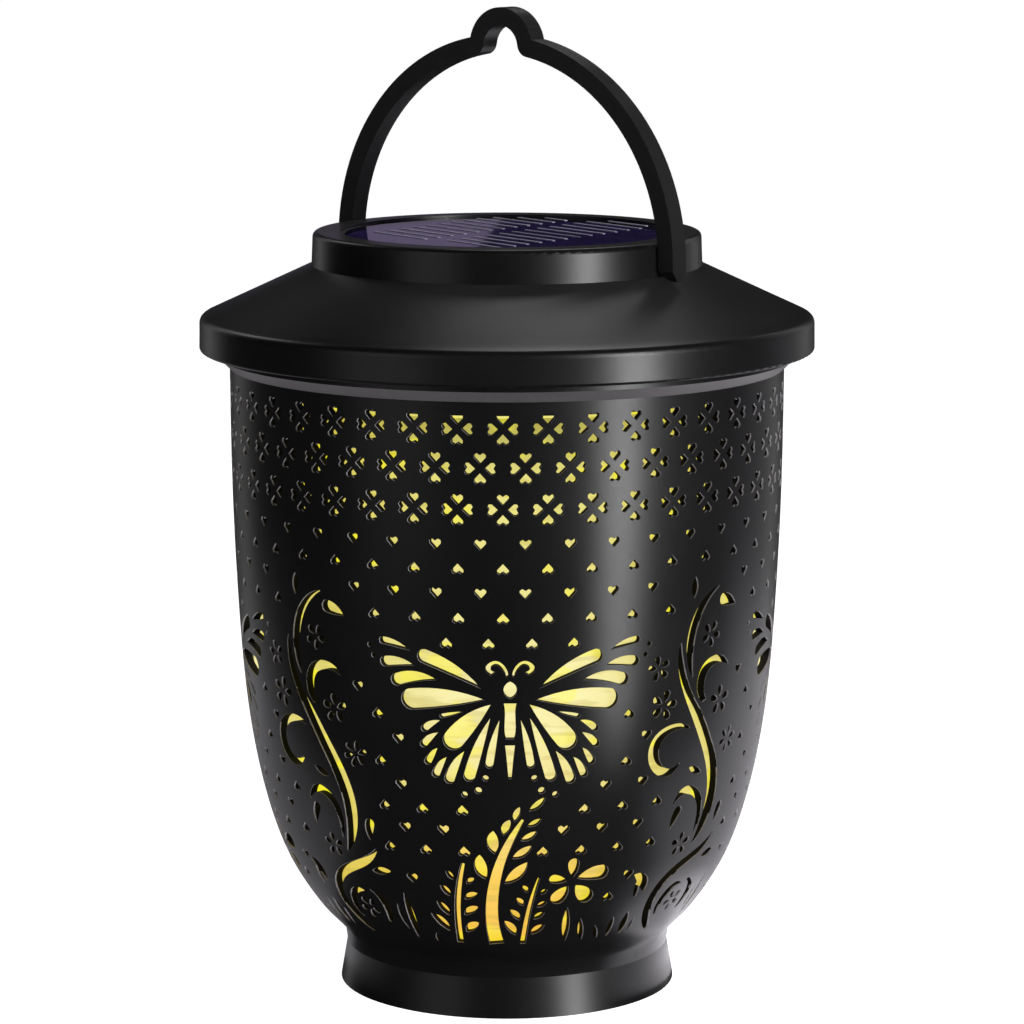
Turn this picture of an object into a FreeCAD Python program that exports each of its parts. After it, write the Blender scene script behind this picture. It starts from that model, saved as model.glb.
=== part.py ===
import FreeCAD, Part
import math
import os

# Solar hanging lantern: a perforated pot on a ring foot, a lift-off solar lid that
# carries all the electronics, and a bail handle hinged on the lid's collar.
# Millimetres, +Z up. The origin is the middle of the foot ring, on the surface it
# stands on. The middle of one butterfly faces -Y, and azimuths are measured from
# there, positive towards +X.

V = FreeCAD.Vector
ORIGIN = V(0, 0, 0)
UP = V(0, 0, 1)

# ---------------------------------------------------------------- driving dimensions
WALL = 2.0                    # moulded wall of the pot
FOOT_R = 38.65                # outer radius of the foot ring where it stands
WAIST_R = 37.15               # narrowest radius, just under the bowl
WAIST_Z = 9.0
BOWL_WALL = (                 # (z, outer radius): the wall is a stack of shallow cones
    (12.2, 37.6), (13.4, 38.5), (15.0, 40.0), (17.4, 42.2), (20.0, 44.4), (24.0, 47.2),
    (29.0, 50.1), (36.0, 53.2), (45.0, 56.0), (57.0, 58.55), (70.0, 60.3), (85.0, 61.5),
    (102.0, 62.4), (121.0, 62.95), (143.3, 63.15))
FLOOR_Z = 12.2                # underside of the pot's floor
FLARE = 2.45                  # the rim flares outwards by this much, at 45 degrees
RIM_TOP = 150.4               # the lid rests here

BRIM_R = 70.0                 # outer radius of the lid
BRIM_BOTTOM = 147.3
BRIM_TOP = 154.55
BRIM_ROUND = 1.8
COLLAR_R = 44.4               # collar radius where it meets the roof
COLLAR_Z = 166.4
COLLAR_TOP_R = 44.1
LID_TOP = 173.9
COLLAR_ROUND = 1.2
ROOF_WALL = 2.2
PANEL_R = 37.8                # radius of the recess that holds the solar panel
PANEL_FLOOR = 170.9
PANEL_FLOOR_WALL = 2.5

LINER_WALL = 0.8              # frosted liner that spreads the light
LINER_GAP = 0.4
LINER_FOOT = 2.6              # its foot stands this far inside its lowest corner
LINER_TOP = 139.4

TRAY_R = 60.8                 # tray that closes the lid and plugs into the pot
TRAY_WALL = 2.0
TRAY_Z = RIM_TOP - TRAY_WALL
SPIGOT_BOTTOM = 140.0
SCREW_CIRCLE_R = 52.0
SCREW_AZIMUTHS = (0, 90, 180, 270)

BAIL_AZIMUTH = 50.35          # direction of the bail's right leg
BAIL_PIVOT_Z = 169.1
BAIL_A = 48.8                 # half width of the arch, outside
BAIL_B = 49.0                 # height of the arch above its pivot, outside
BAIL_DEPTH = 4.1              # radial thickness of the strip
BAIL_WIDTH = 4.8
HOOK_R = 9.0                  # outer radius of the hanging loop
HOOK_Z = 215.3
STUD_R = 1.5
STUD_HOLE_R = 1.56
STUD_LENGTH = 3.9
STUD_END_GAP = 0.2
ROOF_GAP = 0.3                # between the swinging legs and the roof
LEG_BOTTOM = 165.5
LEG_CHAMFER = (1.8, 2.3)      # width and rise of the chamfer on both lower corners
HOOK_MOUTH_ROUND = 3.0

CELL_R = 7.1                  # AA rechargeable cell
CELL_LENGTH = 49.2
CELL_CENTRE = V(0, 24.0, 155.8)
BAY_LENGTH = 54.0             # battery bay, inside
BAY_WIDTH = 16.4
BAY_WALL = 1.5
DOOR_WALL = 1.6
DOOR_OVERLAP = 2.0
DOOR_SCREW_X = 33.0
BAY_END_TOP = 161.5           # the bay's end walls carry the contacts
DOOR_BOSS_R = 3.2
DOOR_BOSS_TOP = 156.0
DOOR_MARGIN = 3.6             # from the door's screw to its end
DOOR_CORNER = 2.5
DOOR_RIB = (0.5, 1.0, 1.2)    # clearance in the bay, wall and height of the locating rib
DOOR_GRIP = (1.0, 0.5, 2.2)   # width, depth and spacing of the finger grooves
DOOR_GRIPS = 4
DOOR_SCREW_LENGTH = 7.5

BOARD_SIZE = (34.0, 22.0, 1.6)
BOARD_CENTRE = (22.0, -24.0)
BOARD_Z = 153.4
BOARD_POST_R = 2.6
POST_FLOOR = 0.8              # left under the blind hole of a board post

SWITCH_CENTRE = (-26.0, -20.0)
SWITCH_SIZE = (10.0, 5.0, 4.4)
SLIDER_SIZE = (3.0, 2.2)
SLIDER_TRAVEL = 3.0
SLIDER_DROP = 1.5             # the knob stands this far below the tray
SLIDER_SLACK = 0.8            # free length left in its slot
SLIDER_ROOM = 2.6             # height of the slot inside the switch's body
SLIDER_RISE = 2.0             # the knob reaches this far into the body
SLIDER_RIB = 0.4

LED_BOARD_R = 10.0
LED_BOARD_WALL = 1.2
LED_SIZE = (3.5, 2.8, 0.8)
LED_CIRCLE_R = 5.5
LENS_R = 12.5
LENS_WALL = 1.3
LENS_DROP = 9.0
LENS_SKIRT = 2.4

WIRE_R = 0.6

PAST = 1.0                    # a cutting tool reaches this far past what it cuts
SAME = 0.02                   # sizes closer than this are the same edge
FIT = 0.3                     # clearance round a screw or a sliding knob


# ------------------------------------------------------------------- small helpers
def revolve(points):
    """Solid of revolution about Z from a closed polygon of (radius, z) points."""
    wire = Part.makePolygon([V(r, 0, z) for r, z in points + points[:1]])
    return Part.Face(wire).revolve(ORIGIN, UP, 360)


def ring(inner, outer, low, high):
    """Plain ring about Z."""
    return revolve([(inner, low), (outer, low), (outer, high), (inner, high)])


def disc(radius, low, high, x=0.0, y=0.0):
    return Part.makeCylinder(radius, high - low, V(x, y, low))


def block(size, centre, low):
    """Upright box from its (length, width, height), its middle and its base."""
    corner = V(centre[0] - size[0] / 2, centre[1] - size[1] / 2, low)
    return Part.makeBox(size[0], size[1], size[2], corner)


def direction(azimuth):
    """Unit vector outwards at an azimuth."""
    angle = math.radians(azimuth)
    return V(math.sin(angle), -math.cos(angle), 0)


def turned(shape, azimuth):
    copy = shape.copy()
    copy.rotate(ORIGIN, UP, azimuth)
    return copy


def save(name, *solids):
    """Write one sub-part; several solids stay separate in one compound."""
    shape = solids[0] if len(solids) == 1 else Part.makeCompound(list(solids))
    shape.exportStep("parts/%s.step" % name)
    print("%-18s %3d solid(s)  %10.1f mm3" % (name, len(shape.Solids), shape.Volume))


# --------------------------------------------------------------- profile of the pot
def wall_radius(z):
    """Outer radius of the pot at a height."""
    for (low, low_r), (high, high_r) in zip(BOWL_WALL, BOWL_WALL[1:]):
        if z <= high:
            return low_r + (high_r - low_r) * (z - low) / (high - low)
    return BOWL_WALL[-1][1]


def wall_line(offset):
    """The wall's (radius, z) corners from the floor up, moved inwards by an offset."""
    row = []
    last = len(BOWL_WALL) - 1
    for i, (z, r) in enumerate(BOWL_WALL):
        low_z, low_r = BOWL_WALL[max(i - 1, 0)]
        high_z, high_r = BOWL_WALL[min(i + 1, last)]
        angle = math.atan2(high_r - low_r, high_z - low_z)
        row.append((r - offset * math.cos(angle), z + offset * math.sin(angle)))
    return row


def above_floor(row):
    """The part of a wall line that stands clear above the floor."""
    return [(r, z) for r, z in row if z > FLOOR_Z + WALL + 0.5]


def plain_pot():
    """Foot ring, floor, bowl, wall and flared rim, before it is perforated."""
    outer = wall_line(0)
    inner = above_floor(wall_line(WALL))
    floor_top = FLOOR_Z + WALL
    shoulder = outer[-1][1] + FLARE
    rim_r = outer[-1][0] + FLARE
    rim_in = rim_r - WALL
    profile = [(FOOT_R - WALL, 0), (FOOT_R, 0), (WAIST_R, WAIST_Z)] + outer
    profile += [(rim_r, shoulder), (rim_r, RIM_TOP), (rim_in, RIM_TOP), (rim_in, shoulder + 0.8)]
    profile += inner[::-1]
    profile += [(inner[0][0] - 1.2, floor_top), (0, floor_top), (0, FLOOR_Z),
                (WAIST_R - WALL, FLOOR_Z), (WAIST_R - WALL, WAIST_Z)]
    return revolve(profile)


def light_diffuser():
    """Frosted liner that stands on the floor and follows the wall just inside it."""
    outer = above_floor(wall_line(WALL + LINER_GAP))
    inner = above_floor(wall_line(WALL + LINER_GAP + LINER_WALL))
    floor_top = FLOOR_Z + WALL
    foot_r = outer[0][0] - LINER_FOOT
    profile = [(foot_r - LINER_WALL, floor_top), (foot_r, floor_top)] + outer + inner[::-1]
    return revolve(profile).cut(disc(BRIM_R, LINER_TOP, RIM_TOP))


# ------------------------------------------------------------ outlines of the cut-outs
# An outline is drawn flat, x to the right and y up, in millimetres from a spot on the
# wall. A hole is its outline pushed straight through the wall along the spot's radius.
def flat(point, spot):
    """A (azimuth, z) point of the wall as flat x, y about a (azimuth, z) spot."""
    radius = wall_radius(point[1])
    return V(radius * math.sin(math.radians(point[0] - spot[0])), 0, point[1])


def punch(edges, spot, low, high):
    """Prism through the wall from a flat closed outline."""
    start = wall_radius(low) - 3.5 * WALL
    end = wall_radius(high) + WALL
    wire = Part.Wire(Part.__sortEdges__(edges))
    wire.translate(V(0, -start, 0))
    prism = Part.Face(wire).extrude(V(0, start - end, 0))
    return turned(prism, spot[0])


def spline(points):
    curve = Part.BSplineCurve()
    curve.interpolate(points)
    return curve.toShape()


def heart(azimuth, z, size, heading):
    """Heart whose tip points along heading, in degrees anticlockwise from +x."""
    turn = math.radians(heading)
    half = ((0.5, 0), (-0.06, 0.52), (-0.31, 0.51), (-0.46, 0.28), (-0.28, 0))
    outline = half + tuple((along, -across) for along, across in half[-2:0:-1])
    corners = []
    for along, across in outline:
        x = size * (along * math.cos(turn) - across * math.sin(turn))
        y = size * (along * math.sin(turn) + across * math.cos(turn))
        corners.append(V(x, 0, z + y))
    edges = [Part.makeLine(a, b) for a, b in zip(corners, corners[1:] + corners[:1])]
    return punch(edges, (azimuth, z), z - size, z + size)


def between(root, tip):
    """Spot midway between two wall points, and both points flat about it."""
    spot = ((root[0] + tip[0]) / 2, (root[1] + tip[1]) / 2)
    return spot, flat(root, spot), flat(tip, spot)


def petal(root, tip, width, bend=0.0):
    """Cell with a sharp root and a round tip; bend bows it to the left."""
    spot, start, end = between(root, tip)
    along = end - start
    shoulder = 1 - TIP_ROUND * width / along.Length
    across = V(-along.z, 0, along.x)
    unit = V(across).normalize()

    def place(share, half):
        bow = across * (bend * 4 * share * (1 - share))
        return start + along * share + bow + unit * (half * width)

    edges = [Part.Arc(place(shoulder, 0.46), end, place(shoulder, -0.46)).toShape()]
    for half in (1, -1):
        flank = Part.Arc(start, place(shoulder * 0.55, 0.39 * half), place(shoulder, 0.46 * half))
        edges.append(flank.toShape())
    return punch(edges, spot, min(root[1], tip[1]), max(root[1], tip[1]))


def leaf(root, tip, width, bend=0.0):
    """Leaf with two sharp ends, each side one arc; bend bows it to the left."""
    spot, start, end = between(root, tip)
    along = end - start
    across = V(-along.z, 0, along.x)
    unit = V(across).normalize()
    middle = start + along * 0.5 + across * bend
    edges = []
    for side in (1, -1):
        bulge = middle + unit * (side * width / 2)
        edges.append(Part.Arc(start, bulge, end).toShape())
    return punch(edges, spot, min(root[1], tip[1]), max(root[1], tip[1]))


def stroke(points, widths):
    """Curved stroke through wall points, with its width at each point."""
    spot = (sum(p[0] for p in points) / len(points), 0)
    row = [flat(p, spot) for p in points]
    sides = ([], [])
    for i, (here, width) in enumerate(zip(row, widths)):
        along = row[min(i + 1, len(row) - 1)] - row[max(i - 1, 0)]
        unit = V(-along.z, 0, along.x).normalize()
        sides[0].append(here + unit * (width / 2))
        sides[1].append(here - unit * (width / 2))
    edges = [spline(sides[0]), spline(sides[1])]
    for end, width in ((0, widths[0]), (-1, widths[-1])):
        if width > 0:
            edges.append(Part.makeLine(sides[0][end], sides[1][end]))
    heights = [p[1] for p in points]
    return punch(edges, spot, min(heights), max(heights))


def dot(azimuth, z, radius):
    left, right = V(-radius, 0, z), V(radius, 0, z)
    edges = [Part.Arc(left, V(0, 0, z + side * radius), right).toShape() for side in (1, -1)]
    return punch(edges, (azimuth, z), z - radius, z + radius)


def flower(azimuth, z, radius, petals, turn):
    """Ring of round-ended petals about a middle that stays solid."""
    tools = []
    degrees_per_mm = math.degrees(1 / wall_radius(z))
    for i in range(petals):
        angle = math.radians(turn + 360 * i / petals)
        root, tip = [
            (azimuth + share * radius * math.cos(angle) * degrees_per_mm,
             z + share * radius * math.sin(angle)) for share in (0.22, 1.0)]
        tools.append(petal(root, tip, FLOWER_FILL * radius / (petals + 0.6)))
    return tools


# ------------------------------------------------- the cut-out design, one quarter turn
COLUMN = 4.5                  # half the spacing of the hearts round the pot
FIRST_COLUMN = -1.45
CLOVER_ROWS = ((137.4, 0), (128.9, 1), (119.9, 0))
HEART_ROWS = ((112.3, 1), (106.9, 0), (101.5, 1), (96.0, 0))
LOW_HEARTS = (                # (z, columns): odd columns are upright, even inverted
    (79.2, (-7,)), (73.6, (-6, 6)), (68.2, (-5, 7)), (62.8, (-6, 6)),
    (57.6, (-5, 5, 7)), (52.4, (-6, -4, -2, 4, 6, 8)),
    (47.6, (-5, -3, 3, 5, 7)), (42.6, (-6, -4, -2, 2, 4, 6, 8)),
    (35.2, (-5, 7)), (30.2, (6,)))
HEART_SIZE = 2.5
VINE_TOP = 103               # below this the vine takes the place of these columns
VINE_COLUMNS = (9, 10, 11, 12)
CLOVER_REACH = 2.25
TIP_ROUND = 0.44              # length of a cell's round tip, as a share of the cell's width
FLOWER_FILL = 3.04            # width of a petal, as a share of the flower's radius, times petals


def column_azimuth(column):
    return FIRST_COLUMN + column * COLUMN


def heart_field():
    """Three rows of four-heart clovers, and single hearts down the wall."""
    tools = []
    for z, start in CLOVER_ROWS:
        for column in range(start, 20, 2):
            azimuth = column_azimuth(column)
            for heading in (0, 90, 180, 270):
                shift = CLOVER_REACH * math.cos(math.radians(heading))
                rise = CLOVER_REACH * math.sin(math.radians(heading))
                there = azimuth - math.degrees(shift / wall_radius(z))
                tools.append(heart(there, z - rise, HEART_SIZE, heading))
    for z, start in HEART_ROWS:
        for column in range(start, 20, 2):
            if z < VINE_TOP and column in VINE_COLUMNS:
                continue
            heading = -90 if column % 2 else 90
            tools.append(heart(column_azimuth(column), z, HEART_SIZE, heading))
    for z, columns in LOW_HEARTS:
        for column in columns:
            heading = -90 if column % 2 else 90
            tools.append(heart(column_azimuth(column), z, HEART_SIZE, heading))
    return tools


BUTTERFLY_CELLS = (           # root, tip, width, bend; the right half, mirrored for the left
    ((5.9, 80.4), (19.0, 87.7), 3.5, 0.05),
    ((5.1, 77.9), (22.8, 77.1), 5.2, 0.03),
    ((15.0, 82.0), (24.9, 81.0), 3.1, 0.10),
    ((19.8, 85.0), (27.3, 85.2), 2.6, 0.07),
    ((20.6, 88.2), (27.4, 90.2), 1.9, 0.06),
    ((9.5, 75.2), (14.6, 73.9), 1.1, 0.0),
    ((4.0, 76.9), (13.2, 66.8), 5.0, 0.04),
    ((4.1, 73.8), (9.0, 59.3), 2.8, 0.02),
    ((2.2, 73.4), (4.5, 62.4), 1.9, 0.02),
    ((9.6, 66.2), (13.3, 58.6), 2.5, 0.05),
    ((13.4, 64.7), (16.2, 59.9), 2.0, 0.06),
    ((15.3, 66.7), (17.9, 62.8), 1.8, 0.04),
    ((15.1, 70.2), (18.8, 66.8), 1.8, 0.06),
    ((14.6, 73.0), (18.5, 70.4), 1.7, 0.08))
BUTTERFLY_DOTS = ((28.8, 86.6, 0.6), (29.6, 88.9, 0.6), (5.2, 60.1, 0.7),
                  (6.8, 57.2, 0.8), (9.8, 56.2, 0.7))


def butterfly():
    tools = []
    for side in (1, -1):
        for root, tip, width, bend in BUTTERFLY_CELLS:
            tools.append(petal((side * root[0], root[1]), (side * tip[0], tip[1]),
                               width, side * bend))
        for azimuth, z, radius in BUTTERFLY_DOTS:
            tools.append(dot(side * azimuth, z, radius))
        for azimuth in (4.4, 13.0):
            tools.append(heart(side * azimuth, 90.4, HEART_SIZE, 90))
        antenna = [(side * a, z) for a, z in
                   ((0.7, 83.1), (1.5, 85.3), (3.0, 86.2), (4.4, 85.3), (3.4, 83.8))]
        tools.append(stroke(antenna, (0.5, 0.9, 1.0, 1.1, 1.3)))
    tools.append(leaf((0, 82.1), (0, 78.2), 2.9))
    tools.append(stroke([(0, 77.2), (0, 75.6), (0, 72.5), (0, 69.1)], (3.0, 2.3, 2.4, 1.8)))
    tools.append(stroke([(0, 67.7), (0, 64.0), (0, 60.0)], (2.2, 1.4, 0.7)))
    return tools


def vine():
    """Climbing stem with curls, leaves and small flowers, between two butterflies."""
    tools = [
        stroke([(48.7, 39.6), (51.6, 46.0), (52.0, 52.0), (50.0, 59.0), (46.6, 65.5),
                (43.4, 71.0), (40.4, 76.0), (38.3, 81.5), (37.6, 88.0)],
               (0.4, 3.0, 3.6, 3.7, 3.4, 3.0, 2.2, 1.9, 0.4)),
        stroke([(45.4, 73.8), (43.9, 77.6), (45.2, 81.4), (48.6, 82.8), (52.8, 81.0)],
               (1.4, 2.4, 2.5, 2.0, 0.4)),
        stroke([(41.3, 79.8), (40.2, 86.5), (41.9, 93.5), (48.1, 99.5)],
               (0.4, 2.2, 2.3, 0.4)),
        stroke([(41.6, 68.2), (37.0, 68.9), (32.8, 66.4), (32.4, 62.0), (35.2, 58.9),
                (39.6, 60.4)], (0.4, 1.7, 2.6, 2.8, 2.2, 0.5)),
        stroke([(39.4, 50.6), (43.4, 53.5), (47.4, 51.0), (48.7, 46.4), (48.2, 42.6)],
               (0.4, 2.0, 1.9, 1.4, 0.4)),
        stroke([(57.4, 41.0), (51.6, 36.9), (45.2, 34.0), (41.2, 30.2), (40.5, 25.6),
                (42.8, 21.4), (45.9, 18.6)], (0.6, 2.1, 2.3, 2.4, 2.3, 2.0, 0.8)),
        stroke([(45.4, 22.4), (44.5, 26.0), (46.6, 29.2), (50.3, 29.8)],
               (0.4, 1.6, 1.7, 0.4)),
        stroke([(52.4, 30.4), (55.1, 28.8), (56.0, 25.6), (54.8, 22.4)],
               (0.4, 1.7, 1.9, 0.5)),
        leaf((40.7, 97.6), (40.9, 102.6), 1.9),
        petal((54.3, 94.5), (48.6, 96.4), 3.2, -0.06),
        leaf((42.7, 58.8), (47.0, 57.0), 1.7),
        petal((39.7, 44.6), (41.8, 49.9), 2.4, 0.05),
        petal((56.3, 43.2), (57.3, 48.4), 2.6, 0.06),
        leaf((55.0, 35.6), (60.4, 36.2), 1.9),
    ]
    for azimuth, z, radius, petals, turn in (
            (46.3, 88.9, 3.0, 5, 60), (32.3, 82.9, 2.9, 5, 30), (34.0, 74.4, 3.5, 5, 75),
            (50.6, 73.2, 3.4, 5, 20), (55.2, 63.4, 3.1, 6, 15), (44.4, 40.4, 2.9, 5, 90),
            (49.9, 25.6, 2.7, 5, 50)):
        tools += flower(azimuth, z, radius, petals, turn)
    return tools


def frond(stem, widths, leaves):
    """Upright stem with a leaf on every side shoot."""
    tools = [stroke(stem, widths)]
    for root, tip, width, bend in leaves:
        tools.append(leaf(root, tip, width, bend))
    return tools


def meadow():
    """Fronds, grass and one large flower along the foot of the design."""
    tools = frond(
        [(-3.6, 18.7), (-4.6, 26.0), (-4.0, 33.0), (-2.2, 40.0), (0.2, 45.6), (2.9, 50.4)],
        (3.3, 2.8, 2.5, 2.1, 1.6, 0.7),
        (((-5.7, 36.0), (-6.9, 42.0), 2.8, 0.08), ((-3.4, 42.2), (-3.7, 47.8), 2.6, 0.06),
         ((-1.4, 46.6), (0.0, 50.4), 1.9, 0.06), ((1.1, 49.9), (2.1, 53.4), 1.5, 0.05),
         ((-1.3, 34.9), (4.1, 40.2), 2.6, -0.04), ((0.5, 41.1), (5.0, 44.2), 2.0, -0.04),
         ((2.4, 45.4), (6.1, 47.6), 1.6, -0.04), ((3.8, 48.8), (7.0, 50.6), 1.4, -0.04),
         ((4.1, 52.4), (7.7, 55.6), 1.6, -0.03)))
    tools += frond(
        [(-14.4, 18.7), (-13.7, 26.0), (-12.6, 33.0), (-10.9, 39.8)], (1.5, 1.4, 1.3, 0.8),
        (((-16.7, 21.8), (-21.0, 26.4), 2.2, -0.08), ((-15.8, 26.1), (-18.6, 29.8), 1.8, -0.06),
         ((-14.8, 31.3), (-17.0, 34.0), 1.6, -0.06), ((-13.6, 35.5), (-15.2, 37.7), 1.3, -0.05),
         ((-11.9, 21.8), (-8.2, 24.6), 2.1, 0.08), ((-11.8, 26.5), (-8.0, 28.9), 1.8, 0.06),
         ((-11.2, 30.7), (-7.9, 32.4), 1.6, 0.06), ((-10.4, 34.6), (-8.5, 36.2), 1.2, 0.05)))
    tools += frond(
        [(4.0, 18.7), (4.6, 25.0), (5.6, 31.0), (7.0, 36.2)], (1.3, 1.2, 1.0, 0.6),
        (((1.8, 21.1), (-1.4, 25.2), 1.9, -0.07), ((2.7, 25.3), (0.2, 28.2), 1.6, -0.06),
         ((3.5, 29.1), (1.8, 31.3), 1.3, -0.05), ((4.5, 32.5), (3.2, 34.4), 1.1, -0.05),
         ((6.1, 21.3), (9.6, 23.8), 1.9, 0.07), ((6.4, 25.5), (9.2, 27.2), 1.5, 0.06),
         ((6.9, 28.7), (9.5, 30.0), 1.3, 0.05), ((7.7, 32.0), (9.2, 33.3), 1.1, 0.05)))
    tools += [
        petal((15.4, 36.0), (15.0, 40.6), 2.8),
        petal((16.3, 35.6), (24.2, 36.6), 3.9, 0.06),
        petal((16.2, 33.9), (20.8, 29.8), 3.8, -0.02),
        petal((14.4, 33.8), (10.8, 29.8), 3.6, 0.02),
        petal((13.9, 35.1), (9.5, 36.0), 2.4),
        leaf((15.0, 28.4), (16.7, 18.8), 1.8, -0.02),
        leaf((19.4, 25.0), (21.9, 18.8), 1.4, -0.03),
        leaf((24.4, 22.6), (26.8, 18.8), 1.1, -0.03),
        leaf((29.6, 24.4), (29.9, 18.8), 1.4),
        leaf((33.9, 25.2), (34.4, 18.8), 2.0),
        leaf((37.2, 23.4), (37.2, 18.8), 1.0),
        leaf((31.8, 34.8), (36.2, 29.8), 2.6, 0.18),
        leaf((33.2, 33.2), (34.0, 28.4), 1.4, 0.02),
        leaf((-27.4, 31.2), (-27.6, 18.8), 1.8, 0.03),
        leaf((-30.2, 28.0), (-29.3, 21.0), 0.9, -0.05),
        leaf((-20.9, 21.0), (-21.4, 18.6), 0.9),
    ]
    return tools


def body_shell():
    """The pot with its four equal quarters of cut-outs."""
    quarter = heart_field() + butterfly() + vine() + meadow()
    tools = [turned(tool, 90 * i) for i in range(4) for tool in quarter]
    print("cut-outs:", len(tools))
    return plain_pot().cut(tools)


# ------------------------------------------------------------------ lid and its tray
ROOF_SLOPE = (COLLAR_Z - BRIM_TOP) / (BRIM_R - COLLAR_R)
CAVITY_R = 40.0               # the hollow under the collar
CAVITY_TOP = PANEL_FLOOR - PANEL_FLOOR_WALL
REST_RING = (63.0, 65.4)      # stands on the pot's rim
SEAT_RING = (58.6, 60.8)      # the tray is screwed up against it
BOSS_R = 3.5
SCREW_R = 1.25
PILOT_R = 1.28
SCREW_HEAD = (2.8, 1.7)       # radius and height
SCREW_LENGTH = 8.0
LEAD_HOLE_R = 3.0
PANEL_LEAD_SPOT = (4.1, -7.0)
LED_LEAD_SPOT = (-0.1, -5.0)
BOARD_SCREWS = ((22.0, -15.5), (22.0, -32.5))
BRIM_DRAFT = 0.1              # the brim is this much narrower at its top
BRIM_UNDER_ROUND = 0.6
BOARD_SCREW_R = 0.95
BOARD_PILOT_R = 0.98
BOARD_HEAD = (2.1, 1.3)


def roof_z(radius):
    return COLLAR_Z - ROOF_SLOPE * (radius - COLLAR_R)


def ceiling_z(radius):
    """Underside of the roof."""
    return roof_z(radius) - ROOF_WALL / math.cos(math.atan(ROOF_SLOPE))


def round_rings(solid, rings):
    """Fillet the circular edges found at the given (radius, z), each by its own radius."""
    for radius, z, fillet in rings:
        edges = [e for e in solid.Edges
                 if e.Curve.TypeId == "Part::GeomCircle"
                 and abs(e.Curve.Radius - radius) < SAME
                 and abs(e.Curve.Center.z - z) < SAME]
        solid = solid.makeFillet(fillet, edges)
    return solid


def lid_envelope():
    """Everything inside the lid's outer surface, as one filled solid."""
    return revolve([(0, BRIM_BOTTOM), (BRIM_R, BRIM_BOTTOM), (BRIM_R - BRIM_DRAFT, BRIM_TOP),
                    (COLLAR_R, COLLAR_Z), (COLLAR_TOP_R, LID_TOP), (0, LID_TOP)])


def hung_ring(radii):
    """Ring that hangs from the roof down to the rim's level."""
    inner, outer = radii
    return revolve([(inner, RIM_TOP), (outer, RIM_TOP),
                    (outer, ceiling_z(outer) + 0.5), (inner, ceiling_z(inner) + 0.5)])


def lid_housing():
    """Brim, roof and collar in one moulding, with its rings and screw bosses inside."""
    filled = round_rings(lid_envelope(), (
        (BRIM_R - BRIM_DRAFT, BRIM_TOP, BRIM_ROUND), (COLLAR_TOP_R, LID_TOP, COLLAR_ROUND),
        (BRIM_R, BRIM_BOTTOM, BRIM_UNDER_ROUND)))
    inner_r = BRIM_R - ROOF_WALL
    hollow = revolve([(0, BRIM_BOTTOM - 1), (inner_r, BRIM_BOTTOM - 1),
                      (inner_r, ceiling_z(inner_r)), (CAVITY_R, ceiling_z(CAVITY_R)),
                      (CAVITY_R, CAVITY_TOP), (0, CAVITY_TOP)])
    lid = filled.cut(hollow).cut(disc(PANEL_R, PANEL_FLOOR, LID_TOP + 1))
    lid = lid.cut(disc(LEAD_HOLE_R, CAVITY_TOP - 1, PANEL_FLOOR + 1, *PANEL_LEAD_SPOT))
    lid = lid.fuse([hung_ring(REST_RING), hung_ring(SEAT_RING)])
    for azimuth in SCREW_AZIMUTHS:
        spot = direction(azimuth) * SCREW_CIRCLE_R
        boss = disc(BOSS_R, RIM_TOP, COLLAR_Z, spot.x, spot.y).common(filled)
        lid = lid.fuse(boss)
        lid = lid.cut(disc(PILOT_R, RIM_TOP - 1, RIM_TOP + SCREW_LENGTH, spot.x, spot.y))
    for side in (1, -1):
        out = direction(BAIL_AZIMUTH) * side
        start = out * (BAIL_A - BAIL_DEPTH - STUD_LENGTH - STUD_END_GAP)
        start.z = BAIL_PIVOT_Z
        lid = lid.cut(Part.makeCylinder(STUD_HOLE_R, STUD_LENGTH + 1, start, out))
    return lid.removeSplitter()


def slider_room(low, height):
    """Slot that the switch's knob slides in."""
    size = (SLIDER_SIZE[0] + SLIDER_TRAVEL + SLIDER_SLACK, SLIDER_SIZE[1] + 2 * FIT, height)
    return block(size, SWITCH_CENTRE, low)


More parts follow.
